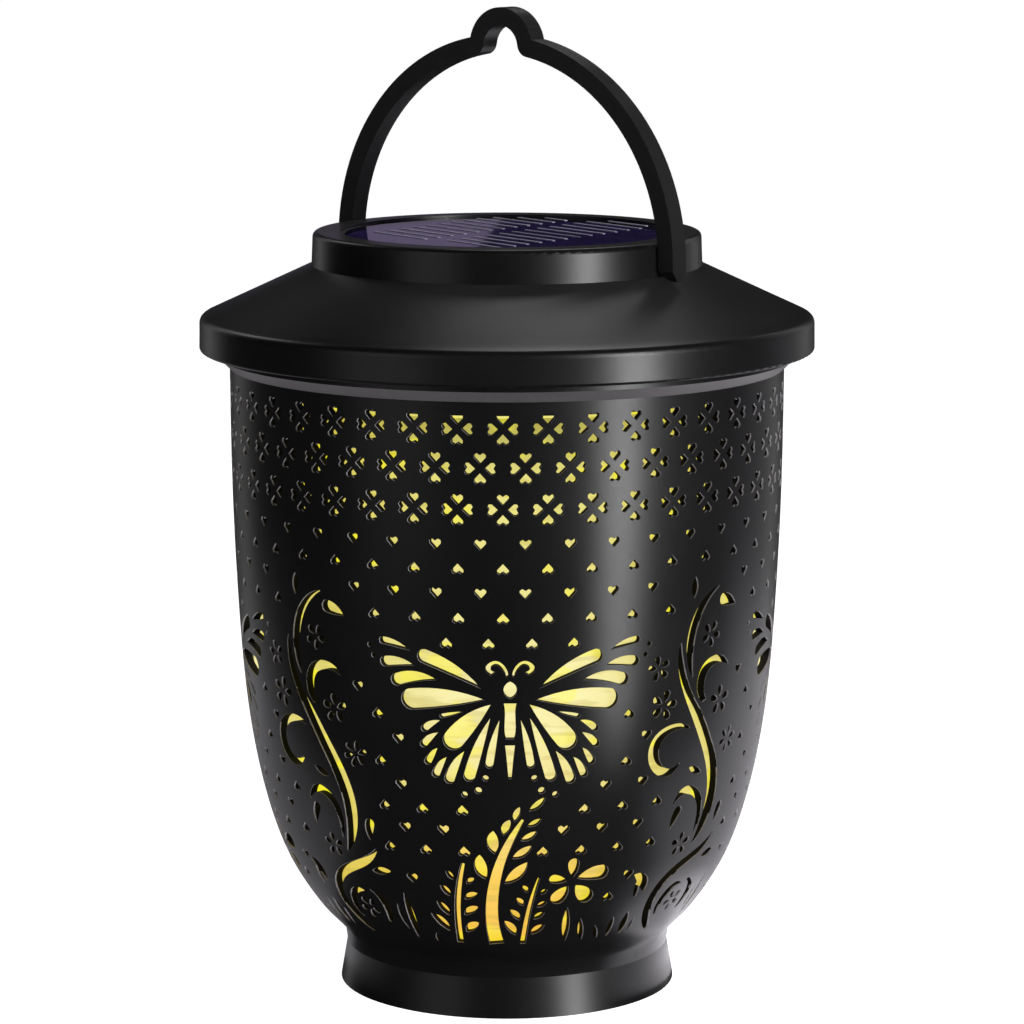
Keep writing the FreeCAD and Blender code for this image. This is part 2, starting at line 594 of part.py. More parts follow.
def lid_tray():
    """Disc that closes the lid, with a spigot, a battery bay and board posts."""
    tray = disc(TRAY_R, TRAY_Z, RIM_TOP)
    parts = [ring(TRAY_R - TRAY_WALL, TRAY_R, SPIGOT_BOTTOM, TRAY_Z)]
    bay_x, bay_y = BAY_LENGTH + 2 * BAY_WALL, BAY_WIDTH + 2 * BAY_WALL
    centre = (0, CELL_CENTRE.y)
    parts.append(block((bay_x, bay_y, CELL_CENTRE.z - RIM_TOP), centre, RIM_TOP))
    for side in (1, -1):
        end = (side * (BAY_LENGTH + BAY_WALL) / 2, CELL_CENTRE.y)
        parts.append(block((BAY_WALL, bay_y, BAY_END_TOP - RIM_TOP), end, RIM_TOP))
    parts.append(disc(DOOR_BOSS_R, RIM_TOP, DOOR_BOSS_TOP, DOOR_SCREW_X, CELL_CENTRE.y))
    for x, y in BOARD_SCREWS:
        parts.append(disc(BOARD_POST_R, RIM_TOP, BOARD_Z, x, y))
    tray = tray.fuse(parts)
    cuts = [block((BAY_LENGTH, BAY_WIDTH, BAY_END_TOP), centre, TRAY_Z - PAST)]
    cuts.append(disc(PILOT_R, TRAY_Z - PAST, DOOR_BOSS_TOP + PAST, DOOR_SCREW_X, CELL_CENTRE.y))
    for azimuth in SCREW_AZIMUTHS:
        spot = direction(azimuth) * SCREW_CIRCLE_R
        cuts.append(disc(SCREW_R + FIT, TRAY_Z - PAST, RIM_TOP + PAST, spot.x, spot.y))
    for x, y in BOARD_SCREWS:
        cuts.append(disc(BOARD_PILOT_R, TRAY_Z + POST_FLOOR, BOARD_Z + PAST, x, y))
    cuts.append(disc(LEAD_HOLE_R, TRAY_Z - PAST, RIM_TOP + PAST, *LED_LEAD_SPOT))
    cuts.append(slider_room(TRAY_Z - PAST, TRAY_WALL + 2 * PAST))
    return tray.cut(cuts).removeSplitter()


def pan_screw(x, y, seat, head, radius, length):
    """Screw pointing up, with its pan head below the seat."""
    cap = disc(head[0], seat - head[1], seat, x, y)
    cap = cap.makeFillet(0.45 * head[1], [e for e in cap.Edges if e.BoundBox.ZMax < seat - 0.1])
    recess = disc(0.45 * head[0], seat - head[1] - 0.1, seat - 0.4 * head[1], x, y)
    return cap.fuse(disc(radius, seat, seat + length, x, y)).cut(recess).removeSplitter()


def tray_screws():
    spots = [direction(azimuth) * SCREW_CIRCLE_R for azimuth in SCREW_AZIMUTHS]
    return [pan_screw(p.x, p.y, TRAY_Z, SCREW_HEAD, SCREW_R, SCREW_LENGTH + 1) for p in spots]


# ---------------------------------------------------------------------- solar panel
BACKING = (37.0, PANEL_FLOOR, 172.1)        # radius, underside, top
WAFER = (36.5, 172.1, 172.5)
COVER = (36.95, 172.5, 173.4)
SEAL_TOP = 173.25


def solar_cover():
    """Clear disc over the wafer, with its top edge eased."""
    cover = disc(*COVER)
    return cover.makeChamfer(0.3, [e for e in cover.Edges if e.BoundBox.ZMin > COVER[2] - 0.1])


def panel_seal():
    """Bead of sealant between the panel's edge and the collar."""
    return revolve([(BACKING[0], PANEL_FLOOR), (PANEL_R, PANEL_FLOOR), (PANEL_R, SEAL_TOP),
                    (COVER[0] + 0.02, SEAL_TOP - 0.2), (COVER[0] + 0.02, BACKING[2]),
                    (BACKING[0], BACKING[2])])


# ------------------------------------------------------- board, battery, switch, LEDs
BOARD_TOP = BOARD_Z + BOARD_SIZE[2]
CHIP_SIZE = (5.0, 4.0, 1.6)
CHIP_SPOT = (18.5, -25.0)
DRUM_SPOT = (30.0, -26.0)
DRUM_R = 3.4
DRUM_HEIGHT = 5.0
CONTACT_WALL = 0.4
CONTACT_SIZE = (12.0, 12.5)   # width and height of a contact plate
CONTACT_LOW = 150.0
NUB = (2.75, 1.0)
SPRING_WIRE_R = 0.3
SPRING_R = 3.2
CELL_X = 0.3                  # the spring keeps the cell against the other contact


def circuit_board():
    board = block(BOARD_SIZE, BOARD_CENTRE, BOARD_Z)
    holes = [disc(BOARD_SCREW_R + 0.2, BOARD_Z - 1, BOARD_TOP + 1, x, y) for x, y in BOARD_SCREWS]
    return board.cut(holes)


def board_screws():
    """Two screws from above, their heads on the board."""
    screws = []
    for x, y in BOARD_SCREWS:
        screw = pan_screw(x, -y, 0, BOARD_HEAD, BOARD_SCREW_R, BOARD_SIZE[2] + 2.4)
        screw.rotate(ORIGIN, V(1, 0, 0), 180)
        screw.translate(V(0, 0, BOARD_TOP))
        screws.append(screw)
    return screws


def driver_chip():
    """Six-legged driver in a moulded body, its legs soldered flat on the board."""
    body = block((CHIP_SIZE[0], CHIP_SIZE[1], CHIP_SIZE[2] - 0.2), CHIP_SPOT, BOARD_TOP + 0.2)
    legs = []
    for step in (-1.5, 0, 1.5):
        for side in (1, -1):
            spot = (CHIP_SPOT[0] + step, CHIP_SPOT[1] + side * (CHIP_SIZE[1] / 2 + 0.3))
            legs.append(block((0.5, 1.4, 0.25), spot, BOARD_TOP))
    return body.fuse(legs)


def drum_inductor():
    """Ferrite drum with its winding in the waist."""
    x, y = DRUM_SPOT
    low = BOARD_TOP
    high = BOARD_TOP + DRUM_HEIGHT
    drum = disc(DRUM_R, low, high, x, y)
    waist = drum.cut(disc(0.82 * DRUM_R, low, high, x, y)).common(
        disc(DRUM_R, low + 1, high - 1, x, y))
    return drum.cut(waist)


def battery_cell():
    """AA cell lying along X, its plus end towards +X."""
    start = V(CELL_X - CELL_LENGTH / 2, CELL_CENTRE.y, CELL_CENTRE.z)
    can = Part.makeCylinder(CELL_R, CELL_LENGTH, start, V(1, 0, 0))
    can = can.makeFillet(0.6, [e for e in can.Edges if e.Curve.TypeId == "Part::GeomCircle"])
    nub_start = start + V(CELL_LENGTH, 0, 0)
    return can.fuse(Part.makeCylinder(NUB[0], NUB[1], nub_start, V(1, 0, 0)))


def contact_blank(side):
    """Flat contact plate against one end wall of the bay."""
    x = side * (BAY_LENGTH - CONTACT_WALL) / 2
    size = (CONTACT_WALL, CONTACT_SIZE[0], CONTACT_SIZE[1])
    return block(size, (x, CELL_CENTRE.y), CONTACT_LOW)


def battery_plate():
    """Plus contact with a pressed bump that meets the cell's nub."""
    nub_end = CELL_X + CELL_LENGTH / 2 + NUB[1]
    face = BAY_LENGTH / 2 - CONTACT_WALL
    bump = Part.makeCylinder(2.2, face - nub_end, V(nub_end, CELL_CENTRE.y, CELL_CENTRE.z),
                             V(1, 0, 0))
    return contact_blank(1).fuse(bump)


def battery_spring():
    """Minus contact: a plate with a coil spring that pushes on the cell."""
    face = -BAY_LENGTH / 2 + CONTACT_WALL
    room = (CELL_X - CELL_LENGTH / 2) - face
    rise = room - 2 * SPRING_WIRE_R
    helix = Part.makeHelix(rise / 2, rise, SPRING_R)
    section = Part.Wire(Part.Circle(V(SPRING_R, 0, 0), V(0, 1, 0), SPRING_WIRE_R).toShape())
    coil = Part.Wire(helix.Edges).makePipeShell([section], True, True)
    coil.rotate(ORIGIN, V(0, 1, 0), 90)
    coil.translate(V(face + SPRING_WIRE_R, CELL_CENTRE.y, CELL_CENTRE.z))
    return contact_blank(-1), coil


def battery_door():
    """Cover under the bay, with a rib that locates it in the opening."""
    low = TRAY_Z - DOOR_WALL
    left = -BAY_LENGTH / 2 - DOOR_OVERLAP
    right = DOOR_SCREW_X + DOOR_MARGIN
    width = BAY_WIDTH + 2 * DOOR_OVERLAP
    centre = ((left + right) / 2, CELL_CENTRE.y)
    plate = block((right - left, width, DOOR_WALL), centre, low)
    plate = plate.makeFillet(DOOR_CORNER, [e for e in plate.Edges if e.BoundBox.ZLength > 1])
    gap, wall, height = DOOR_RIB
    middle = (0, CELL_CENTRE.y)
    rib = block((BAY_LENGTH - gap, BAY_WIDTH - gap, height), middle, TRAY_Z)
    inside = (BAY_LENGTH - gap - 2 * wall, BAY_WIDTH - gap - 2 * wall, height + 2 * PAST)
    rib = rib.cut(block(inside, middle, TRAY_Z - PAST))
    grip_width, grip_depth, pitch = DOOR_GRIP
    grips = []
    for step in range(DOOR_GRIPS):
        spot = (left + 2 * DOOR_CORNER + pitch * step, CELL_CENTRE.y)
        size = (grip_width, width - 2 * pitch, PAST + grip_depth)
        grips.append(block(size, spot, low - PAST))
    hole = disc(SCREW_R + FIT, low - PAST, TRAY_Z + PAST, DOOR_SCREW_X, CELL_CENTRE.y)
    return plate.fuse(rib).cut(grips + [hole])


def door_screw():
    seat = TRAY_Z - DOOR_WALL
    return pan_screw(DOOR_SCREW_X, CELL_CENTRE.y, seat, SCREW_HEAD, SCREW_R, DOOR_SCREW_LENGTH)


def switch_housing():
    body = block(SWITCH_SIZE, SWITCH_CENTRE, RIM_TOP)
    return body.cut(slider_room(RIM_TOP - PAST, SLIDER_ROOM + PAST))


def switch_slider():
    """Knob at its off end; it is ribbed where the finger pushes it."""
    low = TRAY_Z - SLIDER_DROP
    centre = (SWITCH_CENTRE[0] - SLIDER_TRAVEL / 2, SWITCH_CENTRE[1])
    knob = block((SLIDER_SIZE[0], SLIDER_SIZE[1], RIM_TOP + SLIDER_RISE - low), centre, low)
    groove = (SLIDER_RIB, SLIDER_SIZE[1], SLIDER_RIB)
    grooves = [block(groove, (centre[0] + step, centre[1]), low) for step in (-0.9, 0, 0.9)]
    return knob.cut(grooves)


def led_board():
    return disc(LED_BOARD_R, TRAY_Z - LED_BOARD_WALL, TRAY_Z)


def led_chips():
    """Four surface-mounted LEDs facing down."""
    low = TRAY_Z - LED_BOARD_WALL - LED_SIZE[2]
    chips = []
    for azimuth in SCREW_AZIMUTHS:
        chip = block(LED_SIZE, (0, -LED_CIRCLE_R), low)
        chips.append(turned(chip, azimuth))
    return chips


def dome(radius, sphere_r, centre_z, brim):
    """Spherical cap below the brim, with a straight skirt up to the tray."""
    ball = Part.makeSphere(sphere_r, V(0, 0, centre_z))
    cap = disc(radius, centre_z - sphere_r, brim).common(ball)
    return cap.fuse(disc(radius, brim, TRAY_Z))


def led_lens():
    """Frosted dome over the LEDs, the same thickness all over."""
    brim = TRAY_Z - LENS_SKIRT
    rise = LENS_DROP - LENS_SKIRT
    sphere_r = (LENS_R ** 2 + rise ** 2) / (2 * rise)
    centre_z = brim - rise + sphere_r
    outer = dome(LENS_R, sphere_r, centre_z, brim)
    inner = dome(LENS_R - LENS_WALL, sphere_r - LENS_WALL, centre_z, brim)
    return outer.cut(inner).removeSplitter()


# ----------------------------------------------------------------------------- leads
def lead(points, bend=3.0):
    """Insulated wire: straight runs joined by tangent arcs."""
    corners = [V(*p) for p in points]
    edges = []
    last = corners[0]
    for before, corner, after in zip(corners, corners[1:], corners[2:]):
        back = (before - corner).normalize()
        ahead = (after - corner).normalize()
        half = back.getAngle(ahead) / 2
        room = 0.45 * min(before.distanceToPoint(corner), after.distanceToPoint(corner))
        reach = min(bend / math.tan(half), room)
        radius = reach * math.tan(half)
        bisector = (back + ahead).normalize()
        middle = corner + bisector * (radius / math.sin(half) - radius)
        edges.append(Part.makeLine(last, corner + back * reach))
        edges.append(Part.Arc(corner + back * reach, middle, corner + ahead * reach).toShape())
        last = corner + ahead * reach
    edges.append(Part.makeLine(last, corners[-1]))
    path = Part.Wire(edges)
    start = corners[1] - corners[0]
    section = Part.Wire(Part.Circle(corners[0], start, WIRE_R).toShape())
    return path.makePipeShell([section], True, False)


def panel_leads():
    x, y = PANEL_LEAD_SPOT
    return [lead([(x + side, y, PANEL_FLOOR), (x + side, y, 163.0),
                  (15.2 + side, -15.5, 163.0), (15.2 + side, -15.5, BOARD_TOP)])
            for side in (-1.1, 1.1)]


def battery_leads():
    top = CONTACT_LOW + CONTACT_SIZE[1]
    plus_x = (BAY_LENGTH - CONTACT_WALL) / 2
    high = 166.3
    plus = lead([(plus_x, 20, top), (plus_x, 20, high), (34, -16, high), (34, -16, BOARD_TOP)])
    minus = lead([(-plus_x, 20, top), (-plus_x, 20, high), (-12, -28, high),
                  (9, -32, high), (9, -32, BOARD_TOP)])
    return [plus, minus]


def switch_leads():
    top = RIM_TOP + SWITCH_SIZE[2]
    x, y = SWITCH_CENTRE
    near = lead([(x + 1.5, y, top), (x + 1.5, y, 159.0), (7.5, -23, 159.0),
                 (7.5, -23, BOARD_TOP)])
    far = lead([(x - 1.5, y, top), (x - 1.5, y, 161.5), (7.5, -27.5, 161.5),
                (7.5, -27.5, BOARD_TOP)])
    return [near, far]


def led_leads():
    x, y = LED_LEAD_SPOT
    return [lead([(x + side, y, TRAY_Z), (x + side, y, 158.4),
                  (8.2 + side, -17.5, 158.4), (8.2 + side, -17.5, BOARD_TOP)])
            for side in (-1.1, 1.1)]


# ----------------------------------------------------------------------------- bail
def arch(half_width, height, depth):
    """Half ellipse on two short legs, as a slab; x across, y up from the pivot."""
    ellipse = Part.Ellipse(V(0, height, 0), V(half_width, 0, 0), V(0, 0, 0))
    face = Part.Face(Part.Wire(ellipse.toShape()))
    upper = Part.makePlane(4 * half_width, 2 * height, V(-2 * half_width, 0, 0))
    legs = Part.makePlane(2 * half_width, depth, V(-half_width, -depth, 0))
    whole = face.common(upper).fuse(legs).removeSplitter()
    slab = whole.extrude(V(0, 0, BAIL_WIDTH))
    slab.translate(V(0, 0, -BAIL_WIDTH / 2))
    return slab


def bail_handle():
    """Arched strip with a hanging loop on top and a pivot stud inside each leg."""
    inner_a = BAIL_A - BAIL_DEPTH
    inner_b = BAIL_B - BAIL_DEPTH
    leg = 8.0
    hook_y = HOOK_Z - BAIL_PIVOT_Z
    back = V(0, hook_y, -BAIL_WIDTH / 2)
    opening = arch(inner_a, inner_b, leg + 1).fuse(
        Part.makeCylinder(HOOK_R - BAIL_DEPTH, BAIL_WIDTH, back))
    strip = arch(BAIL_A, BAIL_B, leg).fuse(Part.makeCylinder(HOOK_R, BAIL_WIDTH, back))
    strip = strip.cut(opening).removeSplitter()
    mouth = [e for e in strip.Edges
             if e.BoundBox.ZLength > BAIL_WIDTH - 0.1
             and HOOK_R > abs(e.CenterOfMass.x) > 2
             and inner_b - 3 < e.CenterOfMass.y < inner_b + 1]
    strip = strip.makeFillet(HOOK_MOUTH_ROUND, mouth)
    strip.rotate(ORIGIN, V(1, 0, 0), 90)
    strip.translate(V(0, 0, BAIL_PIVOT_Z))
    for side in (1, -1):
        strip = strip.cut(leg_trim(side))
        stud = Part.makeCylinder(STUD_R, STUD_LENGTH, V(side * inner_a, 0, BAIL_PIVOT_Z),
                                 V(-side, 0, 0))
        strip = strip.fuse(stud)
    strip.rotate(ORIGIN, UP, BAIL_AZIMUTH - 90)
    return strip.removeSplitter()


def leg_trim(side):
    """Waste below one leg: what would touch the roof as it swings, and its corners."""
    reach = 2 * BAIL_WIDTH
    near, far = BAIL_A - 1.5 * BAIL_DEPTH, BAIL_A + 2
    low = BRIM_TOP
    middle = side * (near + far) / 2
    swing = [BAIL_PIVOT_Z - roof_z(x) - ROOF_GAP for x in (near, far)]
    cone = Part.makeCone(swing[0], swing[1], far - near, V(side * near, 0, BAIL_PIVOT_Z),
                         V(side, 0, 0))
    below = block((far - near, reach, BAIL_PIVOT_Z - low), (middle, 0), low)
    waste = [below.cut(cone), block((far - near, reach, LEG_BOTTOM - low), (middle, 0), low)]
    half = BAIL_WIDTH / 2
    flank = half - LEG_CHAMFER[0]
    top = LEG_BOTTOM + LEG_CHAMFER[1]
    for way in (1, -1):
        corner = [V(side * near, way * y, z) for y, z in
                  ((half, top), (flank, LEG_BOTTOM), (flank, low), (half + 1, low), (half + 1, top))]
        face = Part.Face(Part.makePolygon(corner + corner[:1]))
        waste.append(face.extrude(V(side * (far - near), 0, 0)))
    return waste


def make():
    os.makedirs("parts", exist_ok=True)
    save("body_shell", body_shell())
    save("light_diffuser", light_diffuser())
    save("lid_housing", lid_housing())
    save("lid_tray", lid_tray())
    save("tray_screws", *tray_screws())
    save("solar_backing", disc(*BACKING))
    save("solar_wafer", disc(*WAFER))
    save("solar_cover", solar_cover())
    save("panel_seal", panel_seal())
    save("panel_leads", *panel_leads())
    save("circuit_board", circuit_board())
    save("board_screws", *board_screws())
    save("driver_chip", driver_chip())
    save("drum_inductor", drum_inductor())
    save("battery_cell", battery_cell())
    save("battery_plate", battery_plate())
    save("battery_spring", *battery_spring())
    save("battery_leads", *battery_leads())
    save("battery_door", battery_door())
    save("door_screw", door_screw())
    save("switch_housing", switch_housing())
    save("switch_slider", switch_slider())
    save("switch_leads", *switch_leads())
    save("led_board", led_board())
    save("led_chips", *led_chips())
    save("led_lens", led_lens())
    save("led_leads", *led_leads())
    save("bail_handle", bail_handle())


make()
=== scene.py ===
import math

import bmesh
import bpy
import numpy as np
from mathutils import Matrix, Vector

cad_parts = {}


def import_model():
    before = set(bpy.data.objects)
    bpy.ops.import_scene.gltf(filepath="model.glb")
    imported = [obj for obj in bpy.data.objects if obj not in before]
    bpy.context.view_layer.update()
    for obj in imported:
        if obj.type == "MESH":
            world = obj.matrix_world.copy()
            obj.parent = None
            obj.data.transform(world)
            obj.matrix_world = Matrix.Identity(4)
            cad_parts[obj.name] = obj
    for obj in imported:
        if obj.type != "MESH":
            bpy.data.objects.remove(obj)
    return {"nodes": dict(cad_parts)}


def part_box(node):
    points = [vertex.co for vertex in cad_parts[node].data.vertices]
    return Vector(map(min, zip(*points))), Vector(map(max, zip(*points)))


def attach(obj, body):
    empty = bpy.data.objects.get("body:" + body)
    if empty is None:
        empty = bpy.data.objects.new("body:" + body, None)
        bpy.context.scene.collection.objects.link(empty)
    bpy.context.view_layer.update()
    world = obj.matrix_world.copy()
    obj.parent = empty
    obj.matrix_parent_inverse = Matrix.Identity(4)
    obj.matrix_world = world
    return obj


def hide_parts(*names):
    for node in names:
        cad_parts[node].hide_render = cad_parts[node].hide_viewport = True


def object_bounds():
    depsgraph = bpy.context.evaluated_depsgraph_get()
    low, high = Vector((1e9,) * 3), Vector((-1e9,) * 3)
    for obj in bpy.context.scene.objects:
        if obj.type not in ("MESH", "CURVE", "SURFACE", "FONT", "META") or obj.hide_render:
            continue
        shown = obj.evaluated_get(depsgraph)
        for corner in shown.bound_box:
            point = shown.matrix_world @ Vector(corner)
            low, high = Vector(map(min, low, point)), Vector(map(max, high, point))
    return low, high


# Looks of the solar hanging lantern: the perforated pot rebuilt on a smooth profile,
# the solar panel's grid lines, procedural materials, a pale floor, soft lights and the
# camera. Metres, in the CAD's own frame: +Z up, the middle of one butterfly faces -Y.

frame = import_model()
CAD_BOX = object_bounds()
NODES = frame["nodes"]
MM = 0.001

# ------------------------------------------------------------------ driving values
SHELL = "body_shell"
WELD = 0.002 * MM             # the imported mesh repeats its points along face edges
FOOT_SLOPE = -1.5 / 9.0       # lean of the foot ring, which the bowl's fillet meets
WASTE_ANGLE = math.radians(1.0)
SKIN_EDGE = 4.0 * MM          # longest edge left in the pot's smooth skins
SKIN_LEAN = 0.5               # a skin faces outwards or inwards more than this
BAND_LEAN = -0.3              # the band's face looks down more than this
REFINE_ROUNDS = 3             # times that the long edges are halved
SMOOTH_COS = math.cos(math.radians(38))   # flat faces that meet closer than this are smooth
TURNED_COS = 0.99             # a normal this close to its radial plane is of a turned face
PROFILE_POINTS = 14           # closer together towards the foot, where the wall curves
WAIST_Z, WALL_TOP = 9.0 * MM, 143.3 * MM  # the outer skin is smooth between these
FLOOR_TOP = 14.2 * MM         # cut-outs start above the pot's floor
BAND_TOP = 145.8 * MM         # the band under the lid, painted pale as a reflection from below, ends here
INNER_LOW = 16.0 * MM         # the inner skin is smooth from here up

GRID_STEP = Vector((2.93, 3.90)) * MM     # from one of the panel's grid lines to the next
GRID_ANGLE = math.radians(-54.7)          # direction of the lines, seen from above
GRID_WIDTH = 0.80 * MM
GRID_RISE = 0.12 * MM                     # of a line above the cover
GRID_HALF = 10.4 * MM                     # half the length of a whole line
GRID_TIP = 0.97                           # share of a line before its pointed end
GRID_MARGIN = 1.6 * MM                    # kept clear inside the cover's edge
GRID_STRIPS = (((-24.1, -7.0), 12), ((-7.4, -26.2), 13))   # first line's middle in mm, and count
COVER_BODY = 0.06             # how much of the cover isn't see-through, seen square on

LACQUER_DARK, LACQUER_LIGHT = (0.0030, 0.0029, 0.0033), (0.0058, 0.0056, 0.0064)
# By radius in tenths of a metre: the collar and the brim are glossier than the roof.
LID_DULL = ((0.0, 0.0), (0.445, 0.0), (0.46, 0.04), (0.66, 0.05), (0.68, 0.0))
LID_GLOSS = ((0.0, 0.5), (0.50, 0.5), (0.64, 0.32), (0.672, 0.32), (0.684, 0.5))
BAIL_PIVOT_Z = 169.1 * MM
STREAK_SCALE = 2600.0         # tool marks of the bail, per metre
GRAIN_LOW, GRAIN_HIGH = 0.3, 0.7          # a noise's usual range
BUMP_DEPTH = 0.05 * MM
CELL_BAND = ((0.0, 0.0), (0.72, 0.0), (0.725, 1.0), (0.80, 1.0), (0.805, 0.0))
CELL_SPAN = 60.0 * MM         # length that CELL_BAND's places divide
EDGE_HIGHLIGHT = ((0.0, 1.0), (0.13, 1.0), (0.24, 0.0))   # share of painted highlight by depth into a cut-out's wall

# The liner's glow is painted light: an emission in place of the lamp inside. Its colour by height
# is painted too, palest in the middle and in painted shade at the top.
GLOW_TOP = 150.0 * MM
GLOW_STOPS = ((0.10, (0.95, 0.52, 0.05)), (0.24, (0.96, 0.62, 0.09)), (0.38, (0.91, 0.80, 0.31)),
              (0.52, (0.95, 0.87, 0.42)), (0.66, (0.86, 0.78, 0.29)), (0.84, (0.82, 0.75, 0.23)),
              (0.95, (0.30, 0.28, 0.04)))
GLOW_SIDE_SHADE = (0.66, 0.56, 0.07)            # painted shade of the glow, between the butterflies
GLOW_BRIGHT_PATCH = (0.92, 0.84, 0.008)           # painted patches of brighter, more saturated glow
GLOW_SHADE = (0.48, 0.38, 0.05)           # painted darker streaks of the glow

WHITE = (1.0, 1.0, 1.0)
LAVENDER = (0.97, 0.94, 1.0)
VIOLET = (0.80, 0.66, 1.0)
# Name, azimuth and elevation in degrees, distance, width and height, watts, colour.
LAMPS = (("key", 46, 6, 1.3, (0.28, 1.4), 21.0, WHITE),
         ("fill", -46, 12, 1.5, (0.9, 1.2), 1.7, WHITE),
         ("rim_left", -142, 10, 1.2, (0.25, 1.3), 0.6, WHITE),
         ("rim_right", 142, 10, 1.2, (0.25, 1.3), 0.6, WHITE),
         ("side_right", 122, 4, 1.2, (0.5, 1.2), 0.40, LAVENDER),
         ("edge_left", -138, 38, 1.2, (0.3, 0.3), 0.4, WHITE))
TOP_LAMP = ("top", 171, 54, 1.2, (0.36, 0.5), 1.7, WHITE)     # passes through the bail
PANEL_CARD = ("panel_card", 180, 0, 1.0, (0.2, 0.2), 0.036, VIOLET)
CARD_PLACE = Vector((-0.0855, 1.0, 0.2231))
CARD_TILT = math.radians(40)              # slant of the card's edge as the panel mirrors it
# Lamps that lie on the floor and face up: name, azimuth, distance, size, watts.
GROUND_GLOWS = (("left", -134, 0.21, (0.24, 0.34), 0.11),
                ("right", 127, 0.21, (0.28, 0.34), 0.30),
                ("near", 84, 0.056, (0.06, 0.034), 0.009))
GLOW_LIFT = 1 * MM                        # of those lamps above the floor
CELL_PAINTED_GLOW = (0.008, 0.002, 0.045), (0.020, 0.007, 0.085)     # painted indigo glow of the wafer
ROOM_LEVEL = 0.012            # of the room in reflections
FLOOR_R = 6.0
FLOOR_DROP = 0.05 * MM        # of the floor below the foot
FLOOR_GLOW = 1.0

CAMERA_DISTANCE = 0.94303
CAMERA_AZIMUTH = math.radians(-0.65)
CAMERA_HEIGHT = 0.26695
CAMERA_PITCH = math.radians(9.506)
CAMERA_LENS = 146.42
CAMERA_SHIFT_X = 0.0049
SENSOR_WIDTH = 36.0


def direction(azimuth):
    """Unit vector outwards at an azimuth in degrees, from -Y towards +X."""
    angle = math.radians(azimuth)
    return Vector((math.sin(angle), -math.cos(angle), 0))


# ------------------------------------------------------------------- material graphs
class Graph:
    """Node graph of one new material, built round its Principled shader."""

    def __init__(self, name, **sockets):
        self.material = bpy.data.materials.new(name)
        self.material.use_nodes = True
        self.nodes = self.material.node_tree.nodes
        self.links = self.material.node_tree.links
        self.shader = self.nodes["Principled BSDF"]
        self.place = self.add("ShaderNodeTexCoord").outputs["Object"]
        for socket, value in sockets.items():
            self.shader.inputs[socket.replace("_", " ")].default_value = value

    def add(self, kind, **settings):
        """New node, with its settings."""
        node = self.nodes.new(kind)
        for name, value in settings.items():
            setattr(node, name, value)
        return node

    def link(self, source, target):
        self.links.new(source, target)

    def noise(self, scale, detail=4.0, rough=0.5, stretch=None):
        """Noise in object space, scale in features per metre, stretched if asked."""
        node = self.add("ShaderNodeTexNoise")
        node.inputs["Scale"].default_value = scale
        node.inputs["Detail"].default_value = detail
        node.inputs["Roughness"].default_value = rough
        source = self.place
        if stretch:
            mapping = self.add("ShaderNodeMapping")
            mapping.inputs["Scale"].default_value = stretch
            self.link(self.place, mapping.inputs["Vector"])
            source = mapping.outputs["Vector"]
        self.link(source, node.inputs["Vector"])
        return node.outputs["Fac"]

    def ramp(self, factor, stops):
        """Colour ramp; stops are (place, colour), a colour is grey or (r, g, b)."""
        node = self.add("ShaderNodeValToRGB")
        elements = node.color_ramp.elements
        while len(elements) < len(stops):
            elements.new(1.0)
        for element, (place, colour) in zip(elements, stops):
            rgb = colour if isinstance(colour, tuple) else (colour,) * 3
            element.position = place
            element.color = (*rgb, 1.0)
        self.link(factor, node.inputs["Fac"])
        return node.outputs["Color"]

    def between(self, grain, low, high):
        """Ramp over a noise's usual range."""
        return self.ramp(grain, ((GRAIN_LOW, low), (GRAIN_HIGH, high)))

    def math(self, operation, *values):
        """Math node; a value is a number or another node's output."""
        node = self.add("ShaderNodeMath", operation=operation)
        for socket, value in zip(node.inputs, values):
            if isinstance(value, (int, float)):
                socket.default_value = value
            else:
                self.link(value, socket)
        return node.outputs["Value"]

    def mix(self, factor, first, second):
        """Colour mix; an input is a number, a colour or another node's output."""
        node = self.add("ShaderNodeMix", data_type="RGBA")
        for socket, value in ((0, factor), (6, first), (7, second)):
            if isinstance(value, tuple):
                node.inputs[socket].default_value = (*value, 1.0)
            elif isinstance(value, (int, float)):
                node.inputs[socket].default_value = value
            else:
                self.link(value, node.inputs[socket])
        return node.outputs[2]

    def radius(self):
        """Distance from the upright axis, in tenths of a metre."""
        split = self.add("ShaderNodeSeparateXYZ")
        self.link(self.place, split.inputs[0])
        squares = [self.math("POWER", split.outputs[axis], 2.0) for axis in (0, 1)]
        reach = self.math("SQRT", self.math("ADD", *squares))
        return self.math("MULTIPLY", reach, 10.0)

    def bump(self, height, strength):
        """Fine relief of the surface."""
        node = self.add("ShaderNodeBump")
        node.inputs["Strength"].default_value = strength
        node.inputs["Distance"].default_value = BUMP_DEPTH
        self.link(height, node.inputs["Height"])
        self.link(node.outputs["Normal"], self.shader.inputs["Normal"])

    def set(self, socket, source):
        """Feed one socket of the shader."""
        self.link(source, self.shader.inputs[socket])


def speckled(name, dark, light, rough):
    """Moulded or painted surface: fine grain in its colour, gloss and relief."""
    graph = Graph(name)
    cloud = graph.noise(35.0, 3.0)
    grain = graph.noise(900.0, 5.0, 0.6)
    blend = graph.math("ADD", graph.math("MULTIPLY", cloud, 0.5),
                       graph.math("MULTIPLY", grain, 0.5))
    graph.set("Base Color", graph.ramp(blend, ((0.32, dark), (0.68, light))))
    graph.set("Roughness", graph.between(blend, *rough))
    graph.bump(grain, 0.25)
    return graph.material


